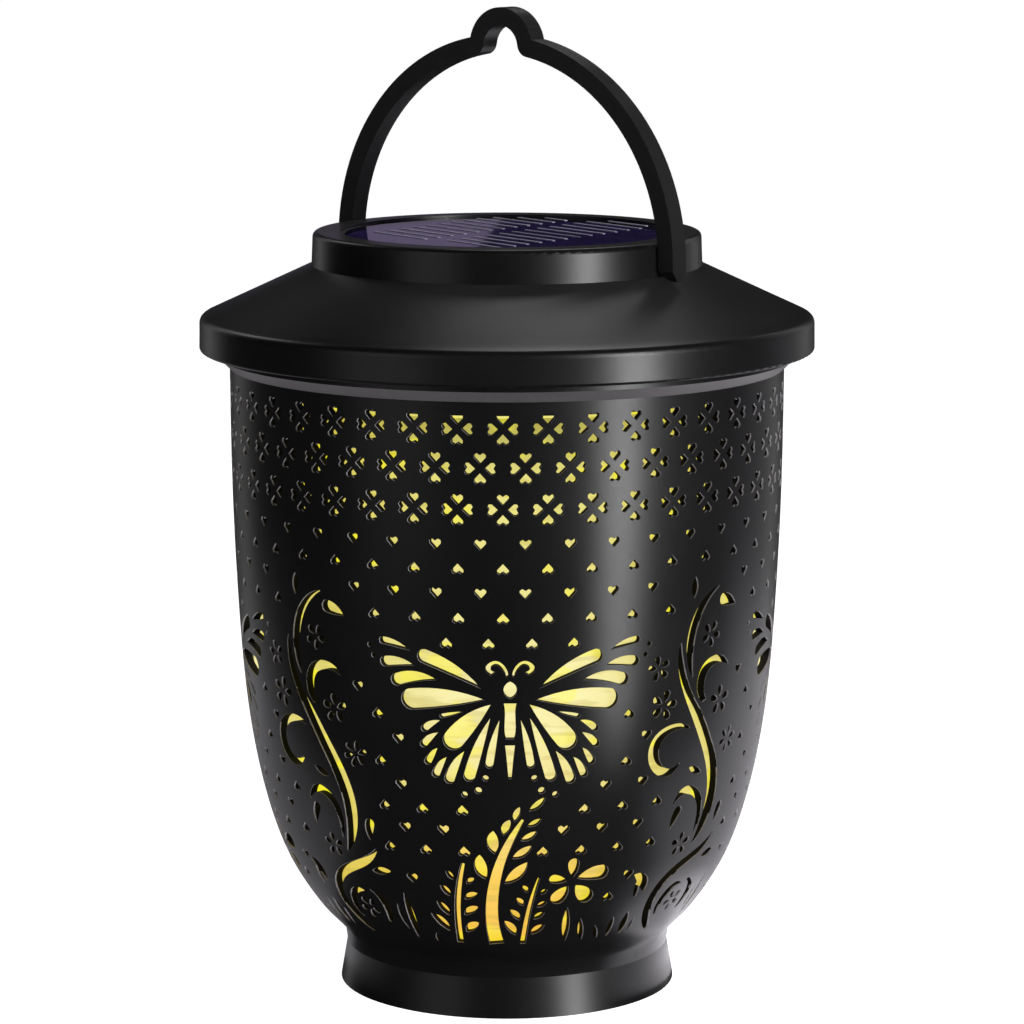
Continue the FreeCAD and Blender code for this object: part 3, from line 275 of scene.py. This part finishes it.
# ---------------------------------------------------------------- the pot's profile
class Profile:
    """Smooth outline through (z, radius) points: a cubic spline, held at its foot."""

    def __init__(self, points, foot_slope=None):
        self.z, self.r = np.array(points).T
        gap = np.diff(self.z)
        rise = np.diff(self.r) / gap
        count = len(points)
        system = np.zeros((count, count))
        right = np.zeros(count)
        for i in range(1, count - 1):
            system[i, i - 1:i + 2] = gap[i], 2 * (gap[i - 1] + gap[i]), gap[i - 1]
            right[i] = 3 * (gap[i] * rise[i - 1] + gap[i - 1] * rise[i])
        system[0, 0], right[0] = 1, rise[0] if foot_slope is None else foot_slope
        system[-1, -1], right[-1] = 1, rise[-1]
        self.slope = np.linalg.solve(system, right)

    def at(self, z):
        """Radius and slope (change of radius with z) at a height."""
        i = int(np.clip(np.searchsorted(self.z, z) - 1, 0, len(self.z) - 2))
        gap = self.z[i + 1] - self.z[i]
        t = (z - self.z[i]) / gap
        a, b = self.slope[i] * gap, self.slope[i + 1] * gap
        step = self.r[i + 1] - self.r[i]
        first, last = a - step, step - b
        bend = first * (1 - t) + last * t
        radius = self.r[i] + step * t + t * (1 - t) * bend
        lean = step + (1 - 2 * t) * bend + t * (1 - t) * (last - first)
        return radius, lean / gap


def measured_profile(verts, low, high, foot_slope):
    """Smooth profile of a wall between two heights, read from the points on it."""
    row = sorted((v.co.z, v.co.xy.length) for v in verts if low <= v.co.z <= high)
    heights, radii = np.array(row).T
    places = low + (high - low) * np.linspace(0, 1, PROFILE_POINTS) ** 2
    return Profile(list(zip(places, np.interp(places, heights, radii))), foot_slope)


# ------------------------------------------------------------------------- the pot
def facing(face):
    """1 for the pot's outer skin, -1 for its inner skin, 0 for any other face."""
    middle = face.calc_center_median()
    if not WAIST_Z < middle.z < WALL_TOP:
        return 0
    lean = face.normal.xy.dot(middle.xy.normalized())
    return (lean > SKIN_LEAN) - (lean < -SKIN_LEAN)


def refine(mesh):
    """Split the long edges of both skins, and keep every face a triangle."""
    for _ in range(REFINE_ROUNDS):
        long_edges = [e for e in mesh.edges if e.calc_length() > SKIN_EDGE
                      and any(facing(f) for f in e.link_faces)]
        if not long_edges:
            return
        bmesh.ops.subdivide_edges(mesh, edges=long_edges, cuts=1)
        bmesh.ops.triangulate(mesh, faces=mesh.faces)


def put_on_profile(mesh):
    """Move both skins from the stack of cones onto smooth profiles."""
    profiles = {}
    for side, low, foot in ((1, WAIST_Z, FOOT_SLOPE), (-1, INNER_LOW, None)):
        verts = {v for f in mesh.faces if facing(f) == side for v in f.verts}
        profile = measured_profile(verts, low, WALL_TOP, foot)
        for v in verts:
            if profile.z[0] <= v.co.z <= profile.z[-1]:
                radius = profile.at(v.co.z)[0]
                v.co.xy = v.co.xy.normalized() * radius
        profiles[side] = profile
    return profiles


def skin_normal(corner, side, profiles, flat_normal):
    """Normal of a smooth skin at one corner of a face."""
    profile = profiles[side]
    radial = corner.xy.normalized()
    if profile.z[0] <= corner.z <= profile.z[-1]:
        slope = profile.at(corner.z)[1]
        tilt = math.atan(slope)
        normal = Vector((*(radial * math.cos(tilt)), -math.sin(tilt)))
        return normal * side
    return Vector((*(radial * flat_normal.xy.length * side), flat_normal.z))


def blended_normal(vert, face):
    """Mean of the flat faces about a point that meet this one smoothly."""
    total = Vector()
    for other in vert.link_faces:
        if not facing(other) and other.normal.dot(face.normal) > SMOOTH_COS:
            total += other.normal * other.calc_area()
    return total.normalized() if total.length > 0 else face.normal


def turned_normal(vert, face):
    """The blended normal, set square to the axis where the face is part of a turned one."""
    normal = blended_normal(vert, face)
    radial = vert.co.xy.normalized()
    lean = normal.xy.dot(radial)
    if abs(lean) < TURNED_COS * normal.xy.length:
        return normal
    return Vector((*(radial * lean), normal.z)).normalized()


def finish_of(face, side):
    """Material of a face: 0 lacquer, 1 cut edge of the perforations, 2 band under the lid, painted
    pale as a reflection from below.
    """
    height = face.calc_center_median().z
    if not side and FLOOR_TOP < height < WALL_TOP:
        return 1
    if WALL_TOP < height < BAND_TOP and face.normal.z < BAND_LEAN:
        return 2
    return 0


def pot_shell(*finishes):
    """The perforated pot with smooth skins and crisp cut edges."""
    mesh = bmesh.new()
    mesh.from_mesh(NODES[SHELL].data)
    bmesh.ops.remove_doubles(mesh, verts=mesh.verts, dist=WELD)
    bmesh.ops.dissolve_limit(mesh, angle_limit=WASTE_ANGLE, verts=mesh.verts, edges=mesh.edges)
    bmesh.ops.triangulate(mesh, faces=mesh.faces)
    refine(mesh)
    profiles = put_on_profile(mesh)
    mesh.normal_update()
    depths = [0.0 if any(facing(f) > 0 for f in v.link_faces) else 1.0 for v in mesh.verts]
    normals = []
    for face in mesh.faces:
        side = facing(face)
        face.smooth = True
        face.material_index = finish_of(face, side)
        for vert in face.verts:
            if side:
                normals.append(skin_normal(vert.co, side, profiles, face.normal))
            else:
                normals.append(turned_normal(vert, face))
    data = bpy.data.meshes.new("pot_shell")
    mesh.to_mesh(data)
    mesh.free()
    for finish in finishes:
        data.materials.append(finish)
    data.normals_split_custom_set([n[:] for n in normals])
    data.attributes.new("wall_depth", "FLOAT", "POINT").data.foreach_set("value", depths)
    pot = bpy.data.objects.new("pot_shell", data)
    bpy.context.scene.collection.objects.link(pot)
    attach(pot, "pot")
    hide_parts(SHELL)


# ---------------------------------------------------------------- the solar panel
def grid_strips(cover_r):
    """Middle, half length and direction of each line of the panel's two cell strips."""
    run = Vector((math.cos(GRID_ANGLE), math.sin(GRID_ANGLE)))
    strips = []
    for start, count in GRID_STRIPS:
        for i in range(count):
            middle = Vector(start) * MM + GRID_STEP * i
            along = middle.dot(run)
            reach = math.sqrt(max(cover_r ** 2 - (middle - run * along).length_squared, 0))
            low = max(along - GRID_HALF, -reach)
            high = min(along + GRID_HALF, reach)
            if high - low > 2 * GRID_WIDTH:
                strips.append((middle + run * ((low + high) / 2 - along), (high - low) / 2, run))
    return strips


def panel_grid(material):
    """Printed grid lines: thin raised strips with pointed ends, on the panel's cover."""
    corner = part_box("solar_cover")[1]
    top = corner.z
    mesh = bmesh.new()
    for middle, half, run in grid_strips(corner.x - GRID_MARGIN):
        across = Vector((-run.y, run.x)) * (GRID_WIDTH / 2)
        flat = [middle + run * (half * a) + across * b for a, b in
                ((1, 0), (GRID_TIP, 1), (-GRID_TIP, 1), (-1, 0), (-GRID_TIP, -1), (GRID_TIP, -1))]
        lower = [mesh.verts.new((p.x, p.y, top)) for p in flat]
        upper = [mesh.verts.new((p.x, p.y, top + GRID_RISE)) for p in flat]
        mesh.faces.new(lower[::-1])
        mesh.faces.new(upper)
        for i in range(len(flat)):
            j = (i + 1) % len(flat)
            mesh.faces.new((lower[i], lower[j], upper[j], upper[i]))
    bmesh.ops.recalc_face_normals(mesh, faces=mesh.faces)
    data = bpy.data.meshes.new("panel_grid")
    mesh.to_mesh(data)
    mesh.free()
    data.materials.append(material)
    grid = bpy.data.objects.new("panel_grid", data)
    bpy.context.scene.collection.objects.link(grid)
    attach(grid, "lid")


# ------------------------------------------------------------------------ materials
def satin_black(name, rough, dull=None, gloss=None):
    """Black lacquer, softly glossy and faintly uneven.

    By radius, dull adds roughness and gloss sets the level of the reflection.
    """
    graph = Graph(name, IOR=1.5, Specular_IOR_Level=0.5)
    cloud = graph.noise(28.0, 3.0)
    fine = graph.noise(1400.0, 4.0, 0.6)
    blend = graph.math("ADD", graph.math("MULTIPLY", cloud, 0.6),
                       graph.math("MULTIPLY", fine, 0.4))
    graph.set("Base Color", graph.between(blend, LACQUER_DARK, LACQUER_LIGHT))
    level = graph.between(blend, *rough)
    if dull:
        level = graph.math("ADD", level, graph.ramp(graph.radius(), dull))
    graph.set("Roughness", level)
    if gloss:
        graph.set("Specular IOR Level", graph.ramp(graph.radius(), gloss))
    graph.bump(fine, 0.12)
    return graph.material


def cut_edge():
    """Wall of a cut-out: a painted pale highlight along its front edge, in place of a rounded edge
    catching the light, and black paint behind it.
    """
    graph = Graph("shell_cut_edge", Specular_IOR_Level=0.06)
    depth = graph.add("ShaderNodeAttribute", attribute_name="wall_depth").outputs["Fac"]
    grain = graph.noise(900.0, 4.0, 0.6)
    # Painted highlight along the front of the wall.
    edge_highlight = graph.between(grain, (0.22, 0.21, 0.235), (0.38, 0.365, 0.40))
    paint = graph.between(grain, (0.003, 0.003, 0.0035), (0.007, 0.0065, 0.008))
    graph.set("Base Color", graph.mix(graph.ramp(depth, EDGE_HIGHLIGHT), paint, edge_highlight))
    graph.set("Roughness", graph.between(grain, 0.6, 0.8))
    graph.bump(grain, 0.15)
    return graph.material


def bail_black():
    """Black moulded strip with the faint lengthwise streaks of its tool."""
    graph = Graph("bail_black", IOR=1.5, Specular_IOR_Level=0.5)
    fine = graph.noise(1200.0, 4.0, 0.6)
    split = graph.add("ShaderNodeSeparateXYZ")
    graph.link(graph.place, split.inputs[0])
    x, y, z = [graph.math("POWER", graph.math("SUBTRACT", split.outputs[axis], centre), 2.0)
               for axis, centre in ((0, 0.0), (1, 0.0), (2, BAIL_PIVOT_Z))]
    reach = graph.math("SQRT", graph.math("ADD", graph.math("ADD", x, y), z))
    streak = graph.add("ShaderNodeTexNoise", noise_dimensions="1D")
    streak.inputs["Scale"].default_value = STREAK_SCALE
    streak.inputs["Detail"].default_value = 3.0
    graph.link(reach, streak.inputs["W"])
    blend = graph.math("ADD", graph.math("MULTIPLY", streak.outputs["Fac"], 0.5),
                       graph.math("MULTIPLY", fine, 0.5))
    graph.set("Base Color", graph.between(blend, (0.0075,) * 3, (0.0125,) * 3))
    graph.set("Roughness", graph.between(blend, 0.30, 0.44))
    graph.bump(blend, 0.2)
    return graph.material


def painted_liner_glow():
    """Frosted liner with a painted glow in place of light from a lamp inside: orange near the
    floor, pale yellow in the middle, painted shade on top.
    """
    graph = Graph("diffuser_painted_glow", Roughness=0.55, Emission_Strength=1.0)
    split = graph.add("ShaderNodeSeparateXYZ")
    graph.link(graph.place, split.inputs[0])
    height = graph.math("DIVIDE", split.outputs[2], GLOW_TOP)
    colour = graph.ramp(height, GLOW_STOPS)
    front = graph.math("MULTIPLY", split.outputs[1], -1.0)
    turn = graph.math("ARCTAN2", split.outputs[0], front)
    quarter = graph.math("COSINE", graph.math("MULTIPLY", turn, 4.0))
    side = graph.math("MULTIPLY_ADD", quarter, -0.5, 0.5)
    # Painted shade of the glow between the butterflies.
    colour = graph.mix(graph.math("MULTIPLY", side, 0.75), colour, GLOW_SIDE_SHADE)
    patch = graph.noise(95.0, 2.0, 0.45, (1.0, 1.0, 1.9))
    # Painted patches of brighter glow, stronger between the butterflies.
    bright_patch = graph.ramp(patch, ((0.54, 0.0), (0.6, 1.0)))
    bright_patch_level = graph.math("MULTIPLY", bright_patch, graph.math("MULTIPLY_ADD", side, 0.45, 0.45))
    colour = graph.mix(bright_patch_level, colour, GLOW_BRIGHT_PATCH)
    facet = graph.noise(240.0, 2.0, 0.5, (0.35, 0.35, 2.2))
    # Painted darker streaks of the glow.
    colour = graph.mix(graph.ramp(facet, ((0.5, 0.0), (0.64, 0.34))), colour, GLOW_SHADE)
    # The emission is painted glow; no lamp stands inside the liner.
    graph.set("Emission Color", colour)
    graph.set("Base Color", graph.between(patch, 0.05, 0.10))
    graph.bump(facet, 0.3)
    return graph.material


def clear_cover():
    """Clear panel cover: see-through, with the gloss of its polished face."""
    graph = Graph("panel_glass", Roughness=0.03, IOR=1.5, Specular_IOR_Level=0.8)
    dust = graph.noise(420.0, 4.0)
    graph.set("Base Color", graph.ramp(dust, ((0.4, (0.004, 0.003, 0.010)),
                                              (0.7, (0.010, 0.008, 0.02)))))
    fresnel = graph.add("ShaderNodeFresnel")
    fresnel.inputs["IOR"].default_value = 1.5
    clear = graph.add("ShaderNodeBsdfTransparent")
    blend = graph.add("ShaderNodeMixShader")
    level = graph.math("MULTIPLY_ADD", fresnel.outputs["Fac"], 1.0, COVER_BODY)
    graph.link(level, blend.inputs[0])
    graph.link(clear.outputs[0], blend.inputs[1])
    graph.link(graph.shader.outputs[0], blend.inputs[2])
    output = graph.nodes["Material Output"]
    graph.link(blend.outputs[0], output.inputs["Surface"])
    return graph.material


def solar_cell():
    """Indigo silicon, with the cloudy grain of its crystals."""
    graph = Graph("solar_cell", IOR=1.45, Specular_IOR_Level=0.4, Emission_Strength=1.0)
    crystals = graph.add("ShaderNodeTexVoronoi")
    crystals.inputs["Scale"].default_value = 260.0
    graph.link(graph.place, crystals.inputs["Vector"])
    cloud = graph.noise(120.0, 3.0)
    blend = graph.math("ADD", graph.math("MULTIPLY", crystals.outputs["Distance"], 0.4),
                       graph.math("MULTIPLY", cloud, 0.6))
    graph.set("Base Color", graph.ramp(blend, ((0.25, (0.004, 0.002, 0.022)),
                                               (0.7, (0.012, 0.008, 0.05)))))
    # Painted glow: an emission that makes the wafer's indigo show through the cover.
    graph.set("Emission Color", graph.ramp(blend, ((0.25, CELL_PAINTED_GLOW[0]), (0.7, CELL_PAINTED_GLOW[1]))))
    graph.set("Roughness", graph.between(blend, 0.25, 0.38))
    return graph.material


def metal(name, dark, light):
    """Plated steel with fine drawing marks."""
    graph = Graph(name, Metallic=1.0)
    marks = graph.noise(1500.0, 4.0, 0.6, (1.0, 1.0, 0.15))
    graph.set("Base Color", graph.between(marks, dark, light))
    graph.set("Roughness", graph.between(marks, 0.22, 0.38))
    graph.bump(marks, 0.15)
    return graph.material


def cell_wrap():
    """Shrink-wrapped battery: green film with a plain pale band near one end."""
    graph = Graph("cell_wrap", Specular_IOR_Level=0.6)
    split = graph.add("ShaderNodeSeparateXYZ")
    graph.link(graph.place, split.inputs[0])
    band = graph.ramp(graph.math("MULTIPLY_ADD", split.outputs[0], 1 / CELL_SPAN, 0.5), CELL_BAND)
    haze = graph.noise(300.0, 3.0)
    film = graph.between(haze, (0.02, 0.16, 0.05), (0.04, 0.24, 0.08))
    graph.set("Base Color", graph.mix(band, film, (0.7, 0.7, 0.66)))
    graph.set("Roughness", graph.between(haze, 0.28, 0.4))
    return graph.material


def frosted_lens():
    """Milky light cap over the lamps, faintly lit from inside."""
    graph = Graph("lens_frosted", Emission_Strength=0.8)
    haze = graph.noise(700.0, 4.0)
    graph.set("Base Color", graph.between(haze, (0.72, 0.66, 0.45), (0.82, 0.77, 0.56)))
    graph.set("Emission Color", graph.between(haze, (0.85, 0.6, 0.2), (1.0, 0.78, 0.33)))
    graph.set("Roughness", graph.between(haze, 0.5, 0.65))
    graph.bump(haze, 0.3)
    return graph.material


def moulded_black(name, level=1.0):
    """Plain black moulding of the hidden side, duller than the lacquer."""
    return speckled(name, (0.008 * level,) * 3, (0.016 * level,) * 3, (0.42, 0.58))


def plain_materials():
    """Finish of each CAD node that is shown as it was packed."""
    leads = Graph("wire_insulation")
    sleeve = leads.noise(500.0, 3.0)
    leads.set("Base Color", leads.between(sleeve, (0.30, 0.012, 0.010), (0.42, 0.02, 0.015)))
    leads.set("Roughness", leads.between(sleeve, 0.35, 0.5))
    tray = moulded_black("tray_black")
    switch = moulded_black("switch_black", 1.6)
    steel = metal("contact_steel", (0.50, 0.50, 0.50), (0.66, 0.65, 0.63))
    screws = metal("screw_steel", (0.42, 0.42, 0.43), (0.62, 0.62, 0.62))
    lid = satin_black("lid_black", (0.30, 0.37), LID_DULL, LID_GLOSS)
    finishes = {
        "light_diffuser": painted_liner_glow(),
        "lid_housing": lid,
        "bail_handle": bail_black(),
        "solar_cover": clear_cover(),
        "solar_wafer": solar_cell(),
        "solar_backing": speckled("panel_backing", (0.03,) * 3, (0.05,) * 3, (0.5, 0.65)),
        "panel_seal": speckled("seal_rubber", (0.010,) * 3, (0.018,) * 3, (0.55, 0.7)),
        "circuit_board": speckled("board_green", (0.006, 0.06, 0.02), (0.012, 0.1, 0.035),
                                  (0.3, 0.45)),
        "driver_chip": speckled("chip_black", (0.012,) * 3, (0.022,) * 3, (0.45, 0.6)),
        "drum_inductor": speckled("ferrite", (0.03, 0.028, 0.026), (0.06, 0.055, 0.05), (0.5, 0.7)),
        "battery_cell": cell_wrap(),
        "led_board": speckled("led_board_white", (0.72,) * 3, (0.84,) * 3, (0.3, 0.45)),
        "led_chips": speckled("led_yellow", (0.75, 0.55, 0.08), (0.9, 0.7, 0.15), (0.25, 0.4)),
        "led_lens": frosted_lens()}
    shared = ((tray, ("lid_tray", "battery_door")),
              (switch, ("switch_housing", "switch_slider")),
              (screws, ("tray_screws", "board_screws", "door_screw")),
              (steel, ("battery_plate", "battery_spring")),
              (leads.material, ("panel_leads", "battery_leads", "switch_leads", "led_leads")))
    for material, names in shared:
        finishes.update(dict.fromkeys(names, material))
    return finishes


def paint_nodes():
    """Give each shown CAD node its finish."""
    for name, material in plain_materials().items():
        data = NODES[name].data
        data.materials.clear()
        data.materials.append(material)


# -------------------------------------------------------------------------- staging
def box_light(name, azimuth, elevation, distance, size, watts, colour):
    """Soft rectangular lamp that faces the object's middle."""
    lamp = bpy.data.lights.new(name, "AREA")
    lamp.shape = "RECTANGLE"
    lamp.size, lamp.size_y = size
    lamp.energy = watts
    lamp.color = colour
    holder = bpy.data.objects.new(name, lamp)
    rise = math.radians(elevation)
    middle = Vector((0, 0, (CAD_BOX[0][2] + CAD_BOX[1][2]) / 2))
    arm = direction(azimuth) * math.cos(rise) + Vector((0, 0, math.sin(rise)))
    holder.location = middle + arm * distance
    holder.rotation_euler = (-arm).to_track_quat("-Z", "Y").to_euler()
    holder.visible_camera = False
    bpy.context.scene.collection.objects.link(holder)
    return holder


def studio():
    """Lamps round the object and on the floor, and a card behind that the panel mirrors."""
    for lamp in LAMPS:
        box_light(*lamp)
    box_light(*TOP_LAMP).data.use_shadow = False
    for name, azimuth, reach, size, watts in GROUND_GLOWS:
        glow = box_light("ground_glow_" + name, azimuth, 0, reach, size, watts, LAVENDER)
        glow.location.z = CAD_BOX[0][2] + GLOW_LIFT
        glow.rotation_euler = (math.pi, 0, math.radians(azimuth))
    card = box_light(*PANEL_CARD)
    card.rotation_euler.rotate_axis("Z", -CARD_TILT)
    card.location = CARD_PLACE


def world():
    """White behind the object, dim grey in its reflections."""
    sky = bpy.data.worlds.new("studio")
    sky.use_nodes = True
    nodes, links = sky.node_tree.nodes, sky.node_tree.links
    seen = nodes["Background"]
    seen.inputs["Color"].default_value = (1, 1, 1, 1)
    seen.inputs["Strength"].default_value = 1.0
    around = nodes.new("ShaderNodeBackground")
    around.inputs["Color"].default_value = (0.95, 0.96, 1.0, 1)
    around.inputs["Strength"].default_value = ROOM_LEVEL
    path = nodes.new("ShaderNodeLightPath")
    blend = nodes.new("ShaderNodeMixShader")
    links.new(path.outputs["Is Camera Ray"], blend.inputs[0])
    links.new(around.outputs[0], blend.inputs[1])
    links.new(seen.outputs[0], blend.inputs[2])
    links.new(blend.outputs[0], nodes["World Output"].inputs["Surface"])
    bpy.context.scene.world = sky


def floor():
    """Plain pale floor that fades into the white background."""
    mesh = bmesh.new()
    bmesh.ops.create_circle(mesh, cap_ends=True, segments=96, radius=FLOOR_R)
    data = bpy.data.meshes.new("floor")
    mesh.to_mesh(data)
    mesh.free()
    graph = Graph("floor_pale", Roughness=0.9, Emission_Strength=FLOOR_GLOW)
    haze = graph.noise(3.0, 2.0)
    graph.set("Base Color", graph.between(haze, 0.86, 0.9))
    graph.set("Emission Color", graph.between(haze, 0.98, 1.0))
    data.materials.append(graph.material)
    ground = bpy.data.objects.new("floor", data)
    ground.location.z = CAD_BOX[0][2] - FLOOR_DROP
    ground.visible_glossy = False
    bpy.context.scene.collection.objects.link(ground)


def camera():
    """Camera at the photograph's viewing angle."""
    data = bpy.data.cameras.new("view")
    data.lens = CAMERA_LENS
    data.sensor_width = SENSOR_WIDTH
    data.shift_x = CAMERA_SHIFT_X
    eye = bpy.data.objects.new("view", data)
    eye.location = (CAMERA_DISTANCE * math.sin(CAMERA_AZIMUTH),
                    -CAMERA_DISTANCE * math.cos(CAMERA_AZIMUTH), CAMERA_HEIGHT)
    eye.rotation_euler = (math.pi / 2 - CAMERA_PITCH, 0, CAMERA_AZIMUTH)
    bpy.context.scene.collection.objects.link(eye)
    bpy.context.scene.camera = eye


# The band under the lid is painted pale grey: a painted reflection of the light from below.
pot_shell(satin_black("shell_black", (0.32, 0.39)), cut_edge(),
          speckled("shell_band_painted_reflection", (0.055, 0.050, 0.055), (0.085, 0.078, 0.085), (0.4, 0.5)))
paint_nodes()
panel_grid(speckled("panel_grid", (0.62, 0.58, 0.74), (0.80, 0.76, 0.92), (0.3, 0.45)))
studio()
world()
floor()
camera()
bpy.context.scene.view_settings.view_transform = "Standard"
